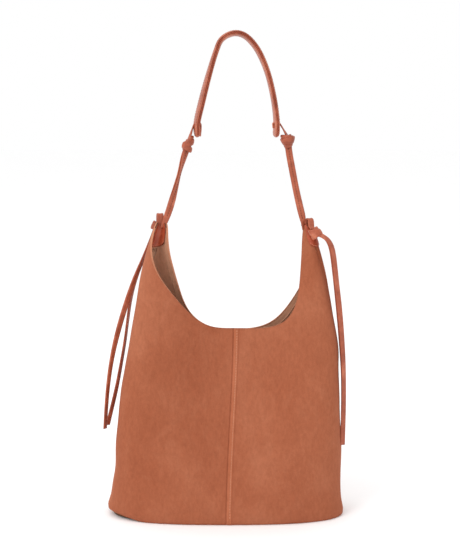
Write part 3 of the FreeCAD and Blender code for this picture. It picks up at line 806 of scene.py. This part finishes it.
def make_base():
    """Oval base panel with a soft rounded rim, lifted with the left foot of the bag."""
    around = 144
    rings = [(0.6, 0.35), (0.9, 0.0), (2.4, 0.0), (8.0, 0.0), (25.0, 0.0), (50.0, 0.0)]
    turned = [(0.6, 1.5), (1.2, 2.0), (4.0, 2.0), (12.0, 2.0), (30.0, 2.0), (50.0, 2.0)]
    angles = np.linspace(0.0, 360.0, around, endpoint=False)
    angles = np.where(angles > 180.0, angles - 360.0, angles)
    rim = skin_point(angles, np.ones(around))
    outward = skin_outward(angles, np.ones(around))
    vertices = []
    faces = []
    for inset, height in rings[::-1] + turned:
        ring = rim - outward * (3.6 + inset)
        ring[:, 2] = height
        vertices += list(settle(ring) * MM)
    count = len(rings) + len(turned)
    for r in range(count - 1):
        for a in range(around):
            n = (a + 1) % around
            faces.append((r * around + a, (r + 1) * around + a, (r + 1) * around + n, r * around + n))
    faces.append(tuple(range(around)))
    faces.append(tuple(reversed(range((count - 1) * around, count * around))))
    piece = make_object("base_leather", vertices, faces, [SUEDE])
    finish_piece(piece, "bag", "suede", "base_panel")


def finish_cad_nodes():
    """Nodes that keep their CAD shape get their own materials."""
    for node, material in (("base_board", BOARD), ("snap_stud", METAL), ("snap_socket", METAL),
                           ("front_snap_washer", METAL), ("back_snap_washer", METAL)):
        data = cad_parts[node].data
        if not data.materials:
            data.materials.append(material)
        for index in range(len(data.materials)):
            data.materials[index] = material


# ------------------------ strap

def box_centre(node):
    low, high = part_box(node)
    return np.array((Vector(low) + Vector(high)) / 2.0)


def make_band():
    """Shoulder band: two bowed leathers with a filler between, turned a little along its length."""
    line = [
        (-39.0, 522.8), (-39.6, 541.0), (-33.0, 570.0), (-24.0, 604.0), (-14.0, 636.0), (-6.0, 653.0),
        (9.8, 661.0), (26.0, 657.0), (42.0, 639.0), (55.0, 610.0), (63.5, 576.0), (67.6, 545.0), (67.0, 522.8),
    ]
    points = smooth_path([(x * MM, 0.0, z * MM) for x, z in line], 130)
    share = np.linspace(0.0, 1.0, len(points))
    turn = np.radians(9.0 * np.cos(math.pi * share) + 3.5 * np.sin(3.0 * math.pi * share))
    sides = turned_sides(points, turn)
    normals = unit(np.cross(unit(np.gradient(points, axis=0)), sides))
    outward = 1.0 if normals[len(points) // 2][2] > 0.0 else -1.0
    length = distance_along(points)[-1]
    from_end = np.clip(np.minimum(share, 1.0 - share) * length / 0.006, 0.0, 1.0)
    closing = np.sqrt(1.0 - (1.0 - from_end) ** 2)[:, None]
    # distance from the middle, width, crown, swell, material, node and slot of each layer
    layers = {
        "band_outer": (1.6, 0.026, 0.85, 0.0, BAND, "band_outer_leather", "smooth_leather"),
        "band_core": (0.0, 0.0254, 0.0, 0.95, BAND_CORE, "band_filler", "filler"),
        "band_under": (-1.6, 0.026, -0.65, 0.0, BAND, "band_lining", "smooth_leather"),
    }
    thickness = 0.0018 * (0.35 + 0.65 * closing[:, 0])
    for name, (distance, width, crown, swell, material, node, slot) in layers.items():
        path = points + normals * (outward * distance * MM) * (0.30 + 0.70 * closing)
        piece = ribbon_piece(name, path, sides, width, thickness, material, crown=outward * crown,
                             swell=swell, rounded_ends=True)
        finish_piece(piece, "shoulder_band", slot, node)
    for name, side_sign in (("front", -1.0), ("rear", 1.0)):
        path = points + normals * (outward * 2.95 * MM) + sides * (side_sign * 0.0104)
        piece = stitch_piece("band_stitches_" + name, path[6:-6], normals[6:-6] * outward,
                             0.0028, 0.0008, 0.0003, LACE_THREAD)
        finish_piece(piece, "shoulder_band", "smooth_leather")


def horn_axes(side):
    """The lace hole of a horn in metres, the level direction out of it and the level direction along it."""
    middle = np.array([SIDES[side]])
    z = np.array([HOLE_HEIGHT])
    hole = layer_points(middle, z, LEATHER / 2.0, relief=False)[0]
    outward = skin_outward(middle, z)[0]
    along = np.cross(outward, [0.0, 0.0, 1.0])
    return hole, outward, along * (1.0 if (along[0] > 0.0) == (side == "left") else -1.0)


# Lower end of each ply from the hole: out of the leather, along it towards the mouth, and up; millimetres.
PLY_ENDS = {
    ("left", "front"): (-5.4, 4.0, -0.4), ("left", "rear"): (4.4, 3.6, -4.0),
    ("right", "front"): (-3.2, 5.0, -5.0), ("right", "rear"): (-5.4, 3.4, -6.0),
}
# Line of each pair of plies up to its knot: x and z in millimetres, turn about its length in degrees.
PLY_LINES = {
    "left": [(-81.6, 413.5, 4.0), (-76.2, 429.0, 18.0), (-69.6, 452.0, 56.0), (-63.2, 476.0, 86.0),
             (-57.2, 497.0, 38.0)],
    "right": [(103.4, 415.5, -26.0), (99.6, 431.0, -12.0), (94.8, 452.0, -4.0), (89.2, 480.0, 2.0),
              (85.4, 500.0, 4.0)],
}
# How far forward a ply passes its two lowest points to clear the rim of the horn, in millimetres.
PLY_DEPTHS = {("left", "front"): (-5.8, -2.8), ("left", "rear"): (-1.2, -0.6)}


def make_laces():
    """Two flat plies on each side, from inside the horn to the upper knot, stitched along the middle."""
    for side in SIDES:
        knot = box_centre(side + "_upper_knot")
        hole, outward, along = horn_axes(side)
        across, heights, turns = np.array(PLY_LINES[side]).T
        line = np.stack([across, 0.0 * across, heights], axis=-1) * MM
        for ply, depth in (("front", -1.0), ("rear", 1.0)):
            out, forward, rise = PLY_ENDS[(side, ply)]
            end = hole + (outward * out + along * forward + UP * rise) * MM
            shifts = PLY_DEPTHS.get((side, ply), (0.0, 0.0)) + (0.0, 0.0, 0.0)
            route = [place + DEPTH * (shift * MM) for place, shift in zip(line, shifts)]
            points = smooth_path([end - UP * 0.002, end] + route + [knot - UP * 0.002], 110)
            turn = np.radians(np.interp(points[:, 2], heights * MM, turns))
            turn = np.convolve(np.pad(turn, 10, mode="edge"), np.ones(21) / 21.0, mode="valid")
            facing = np.stack([np.cos(turn), np.sin(turn), 0.0 * turn], axis=-1)
            hold = smooth((0.418 - points[:, 2]) / 0.012)[:, None]
            sides = facing * (1.0 - hold) + along * (1.0 if along[0] > 0.0 else -1.0) * hold
            apart = unit(np.cross(unit(np.gradient(points, axis=0)), sides))
            points = points + apart * (depth * 0.00115) * smooth((points[:, 2:3] - 0.408) / 0.014)
            widths = LACE_WIDTH * MM * (1.0 - 0.16 * hold[:, 0])
            name = "%s_%s" % (side, ply)
            piece = ribbon_piece("lace_" + name, points, sides, widths, 0.0018, LACE, crown=0.12, groove=0.18)
            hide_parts("%s_lace_%s" % (side, ply))
            stitches = stitch_piece("lace_stitches_" + name, (points + apart * depth * 0.00088)[14:],
                                    (apart * depth)[14:], 0.0022, 0.0012, 0.00036, LACE_THREAD)
            for made in (piece, stitches):
                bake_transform(made)


def wrap_ribbon(name, centre, axis, half, shape):
    """One turn of lace drawn round a knot, its ends tucked in; half is the knot's half size."""
    size, tilt, start, height, lift, flare = shape
    across = unit(np.cross(DEPTH, axis))
    turns = np.linspace(0.0, 2.25 * math.pi, 72)[:, None] + start
    share = np.linspace(0.0, 1.0, len(turns))[:, None]
    tuck = 1.0 - 0.42 * (smooth((0.10 - share) / 0.10) + smooth((share - 0.90) / 0.10))
    wide, deep = half[0] * size, half[1] * size
    x = np.cos(turns) * wide * tuck
    rise = half[2] * lift + math.tan(math.radians(tilt)) * x
    points = centre + across * x + DEPTH * (np.sin(turns) * deep * tuck) + axis * rise
    outwards = unit(across * np.cos(turns) / wide + DEPTH * np.sin(turns) / deep)
    sides = np.cross(unit(np.gradient(points, axis=0)), outwards)
    sides = sides * np.sign(sides @ axis)[:, None] + outwards * flare
    return ribbon_piece(name, points, sides, half[2] * height * 2.0, 0.0024, LACE, crown=0.0, swell=0.30)


# Turns of lace round each knot: share of its size, tilt, start, share of its height, lift and flare.
KNOT_TURNS = {
    "left_upper_knot": ((0.90, 30.0, 0.4, 0.54, 0.20, 0.0), (0.84, -26.0, 2.6, 0.46, -0.40, 0.0),
                        (0.64, 62.0, 4.0, 0.40, 0.30, 0.0)),
    "right_upper_knot": ((0.86, 3.0, 2.9, 0.62, 0.06, 0.42), (0.86, -13.0, 0.5, 0.30, 0.66, 0.15),
                         (0.50, 10.0, 4.2, 0.40, -0.55, 0.30)),
    "left_tie_knot": ((0.92, 30.0, 1.0, 0.62, 0.20, 0.0), (0.86, -34.0, 3.4, 0.56, -0.30, 0.0)),
    "right_tie_knot": ((0.96, -24.0, 5.2, 0.74, 0.10, 0.0), (0.90, 12.0, 2.0, 0.62, -0.22, -0.2),
                       (0.66, 8.0, 0.3, 0.44, 0.56, 0.2)),
}
# How far the knots are drawn up against their horns, in millimetres.
KNOT_RISES = {"left_tie_knot": 5.5, "right_tie_knot": 0.5}
KNOT_AXES = {
    "left_upper_knot": (0.22, 0.0, 1.0), "right_upper_knot": (-0.16, 0.0, 1.0),
    "left_tie_knot": (0.35, 0.0, 1.0), "right_tie_knot": (-0.55, 0.0, 1.0),
}


def make_knot(node, body, enlarge):
    """Knotted flat lace: a folded core with turns of lace round it."""
    low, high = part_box(node)
    centre = box_centre(node) + UP * KNOT_RISES.get(node, 0.0) * MM
    half = (np.array(high) - np.array(low)) / 2.0 * enlarge
    axis = unit(np.array(KNOT_AXES[node]))
    span = np.linspace(-0.92, 0.92, 24)
    core_points = centre + axis * (span * half[2])[:, None]
    core_points = core_points + np.array([1.0, 0.0, 0.0]) * (np.sin(span * 3.0) * 0.10 * half[0])[:, None]
    core_widths = half[0] * (1.05 + 0.45 * np.cos(span * 1.5))
    core = ribbon_piece(node + "_core", core_points, (0.9, 0.35, 0.0), core_widths, half[1] * 0.80, LACE,
                        crown=0.0, swell=0.25)
    finish_piece(core, body, "lace", node)
    for i, shape in enumerate(KNOT_TURNS[node]):
        turn = wrap_ribbon("%s_turn_%d" % (node, i), centre, axis, half, shape)
        finish_piece(turn, body, "lace")


def make_knots():
    for side in SIDES:
        make_knot(side + "_upper_knot", "strap_laces", 0.93)
        make_knot(side + "_tie_knot", "bag", 1.06)


def make_band_loops():
    """Lace from each upper knot through the slot in the band and down the band's inner face."""
    lines = {
        "left": [(-51.5, 517.0), (-49.6, 522.0), (-45.6, 534.5), (-42.6, 541.4), (-39.0, 542.6),
                 (-35.0, 541.2), (-34.4, 534.0), (-35.4, 524.0)],
        "right": [(83.0, 522.5), (80.6, 527.5), (74.6, 537.6), (71.4, 541.8), (67.0, 542.6), (63.1, 541.6),
                  (63.0, 538.6), (63.4, 535.0)],
    }
    for side, line in lines.items():
        points = smooth_path([(x * MM, 0.0, z * MM) for x, z in line], 70)
        tilt = math.radians(24.0 if side == "left" else -18.0)
        share = np.linspace(0.0, 1.0, len(points))
        sides = turned_sides(points, tilt * smooth(1.0 - share / 0.45))
        piece = ribbon_piece("band_lace_" + side, points, sides, LACE_WIDTH * MM, 0.0020, LACE, crown=0.1,
                             groove=0.1)
        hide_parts(side + "_band_loop")
        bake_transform(piece)


def make_tie_loops():
    """Flat lace from the slot inside each horn, over its tip and down to the knot outside."""
    # distance out of the leather and up from the hole, in millimetres
    routes = {
        "left": [(-1.6, -2.2), (-2.7, 1.4), (-3.0, 6.0), (-2.4, 11.4), (0.2, 15.2), (3.4, 14.4), (5.0, 10.0),
                 (5.2, 4.0), (5.8, -1.5), (8.4, -5.5)],
        "right": [(-1.6, -2.2), (-2.7, 1.0), (-2.9, 4.0), (-2.2, 7.0), (0.0, 8.6), (2.8, 8.4), (4.6, 6.0),
                  (5.2, 2.6), (6.0, -1.5), (8.6, -5.0)],
    }
    for side, route in routes.items():
        hole, outward, along = horn_axes(side)
        points = smooth_path([tuple(hole + (outward * out + UP * rise) * MM) for out, rise in route], 80)
        widths = 0.0092 - 0.0022 * smooth((np.linspace(0.0, 1.0, len(points)) - 0.80) / 0.2)
        piece = ribbon_piece("tie_" + side, points, along, widths, 0.0024, LACE, crown=0.12, groove=0.10)
        finish_piece(piece, "bag", "lace", side + "_tie_loop")


# Slots that the laces enter: out of the leather and along it from the hole, and half length; millimetres.
SLOTS = {
    ("left", "inner"): (-4.6, 3.9, 4.6), ("left", "outer"): (2.5, 0.0, 5.6),
    ("right", "inner"): (-4.6, 4.8, 4.6), ("right", "outer"): (2.5, 0.0, 5.6),
}


def make_slot_shade_rings():
    """Dark ring round each slot, inside and outside the horn: partly the slot's dark cut edge, partly painted
    shade of its opening, as the leather has no hole.
    """
    turns = np.linspace(0.0, 2.0 * math.pi, 49)[:, None]
    for (side, name), (out, forward, reach) in SLOTS.items():
        hole, outward, along = horn_axes(side)
        middle = hole + (outward * out + along * forward) * MM
        points = middle + along * (np.cos(turns) * reach * MM) + UP * (np.sin(turns) * 0.0013)
        # dark ring: the slot's cut edge together with painted shade of the opening
        piece = ribbon_piece("slot_%s_%s" % (side, name), points, outward, 0.0009, 0.0009, EDGE_PAINT)
        finish_piece(piece, "bag", "smooth_leather")


# ------------------------ free tails

def spline_points(name, controls):
    """Points of the smooth line that the given control points give."""
    curve = bpy.data.curves.new(name + "_line", "CURVE")
    curve.dimensions = "3D"
    curve.resolution_u = 24
    spline = curve.splines.new("NURBS")
    spline.points.add(len(controls) - 1)
    for point, place in zip(spline.points, controls):
        point.co = (*place, 1.0)
    spline.order_u = 3
    spline.use_endpoint_u = True
    holder = add_object(name + "_line", curve)
    bpy.context.view_layer.update()
    mesh = bpy.data.meshes.new_from_object(holder.evaluated_get(bpy.context.evaluated_depsgraph_get()))
    points = np.array([tuple(v.co) for v in mesh.vertices])
    bpy.data.objects.remove(holder)
    bpy.data.meshes.remove(mesh)
    bpy.data.curves.remove(curve)
    return points


# Turn of each tail about its length, in degrees from edge-on, at even steps from the knot.
TAIL_TURNS = {
    "left_outer_tail": (20.0, 40.0, 62.0, 58.0, 40.0, 30.0, 26.0),
    "left_inner_tail": (10.0, 12.0, 22.0, 18.0, 24.0, 34.0, 40.0),
    "right_outer_tail": (36.0, 48.0, 58.0, 52.0, 44.0, 56.0, 62.0),
    "right_inner_tail": (16.0, 20.0, 28.0, 34.0, 24.0, 30.0, 36.0),
}


def make_tails():
    for name, route in TAIL_ROUTES.items():
        depth = box_centre(name)[1]
        points = spline_points(name, [(x, depth, z) for x, z in route])
        lengths = distance_along(points)
        knot = box_centre(name.split("_")[0] + "_tie_knot")
        steps = np.linspace(0.0, 1.0, len(TAIL_TURNS[name]))
        turn = np.interp(lengths / lengths[-1], steps, TAIL_TURNS[name])
        start = knot * 0.45 + points[0] * 0.55
        strand = np.concatenate([[start, start * 0.5 + points[0] * 0.5], points])
        turn = np.radians(np.concatenate([[turn[0], turn[0]], turn]))
        piece = ribbon_piece("lace_" + name, strand, turned_sides(strand, turn), TAIL_WIDTH * MM, 0.0022,
                             LACE, crown=0.15, groove=0.16)
        finish_piece(piece, name, "lace", name)


# ------------------------ stage

def make_stage():
    make = Nodes("floor")
    make.surface({"Base Color": (0.995, 0.995, 0.995, 1.0), "Roughness": 0.9, "Specular IOR Level": 0.1})
    size = 12.0
    corners = [(-size, -size, 0.0), (size, -size, 0.0), (size, size, 0.0), (-size, size, 0.0)]
    floor = make_object("floor", corners, [(0, 1, 2, 3)], [make.material], shade=False)


def area_light(name, place, target, size, power):
    data = bpy.data.lights.new(name, "AREA")
    data.energy = power
    data.size = size
    light = add_object(name, data)
    light.location = place
    light.rotation_euler = (Vector(target) - Vector(place)).to_track_quat("-Z", "Y").to_euler()


def make_lights():
    world = bpy.data.worlds.new("studio")
    world.use_nodes = True
    background = world.node_tree.nodes["Background"]
    background.inputs["Color"].default_value = (1.0, 1.0, 1.0, 1.0)
    background.inputs["Strength"].default_value = 1.0
    bpy.context.scene.world = world
    middle = (0.0, 0.0, 0.25)
    area_light("key", (-1.7, -2.0, 2.3), middle, 1.4, 34.0)
    area_light("top", (-0.4, 0.2, 2.8), middle, 1.8, 9.0)
    bpy.context.scene.view_settings.view_transform = "Standard"


make_camera()
make_tails()
make_panels()
make_facings()
make_seam_tapes()
make_horn_patches()
make_closure_tabs()
make_centre_stitches()
make_base()
finish_cad_nodes()
make_band()
make_laces()
make_band_loops()
make_tie_loops()
make_slot_shade_rings()
make_knots()
make_stage()
make_lights()
